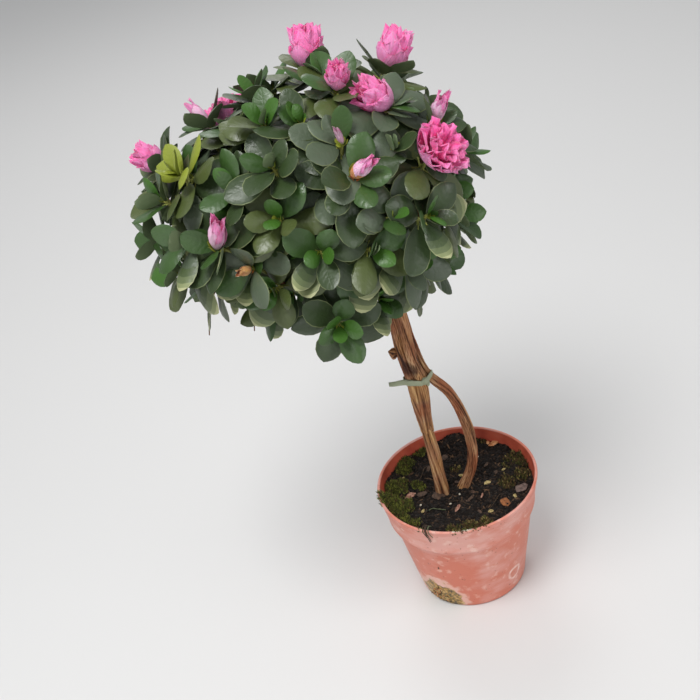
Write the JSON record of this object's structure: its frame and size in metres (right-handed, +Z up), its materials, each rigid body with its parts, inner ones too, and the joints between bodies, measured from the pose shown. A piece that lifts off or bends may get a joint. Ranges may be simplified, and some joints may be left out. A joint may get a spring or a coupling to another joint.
{
  "type": "potted azalea shrub",
  "caption": "Small azalea shrub trained as a standard: twisted stems carry a round, lopsided crown of leaf rosettes and pink double blooms, in a plain plastic flower pot.",
  "frame": {"origin": "centre of the pot's flat underside", "axes": "+Z up the plant from the pot's underside; +Y horizontally away from the viewer in the picture; +X to the viewer's right, away from the side that the crown leans to"},
  "size_m": [0.2354, 0.1882, 0.4415],
  "materials": {
    "pot_plastic": "moulded polypropylene, terracotta colour, weathered",
    "peat": "damp crumbly peat",
    "bark": "fibrous brown bark",
    "tape": "soft pale green tying tape",
    "foliage": "leathery leaves with a soft gloss"
  },
  "bodies": {
    "root": {"pot": "pot_plastic", "soil": "peat", "stem_main": "bark", "stem_second": "bark", "tie": "tape", "bough_1": "bark", "bough_2": "bark", "bough_3": "bark", "bough_4": "bark", "bough_5": "bark", "bough_6": "bark", "bough_7": "bark", "bough_8": "bark", "foliage_1": "foliage", "foliage_2": "foliage", "foliage_3": "foliage", "foliage_4": "foliage", "foliage_5": "foliage", "foliage_6": "foliage", "foliage_7": "foliage", "foliage_8": "foliage"}
  },
  "joints": []
}
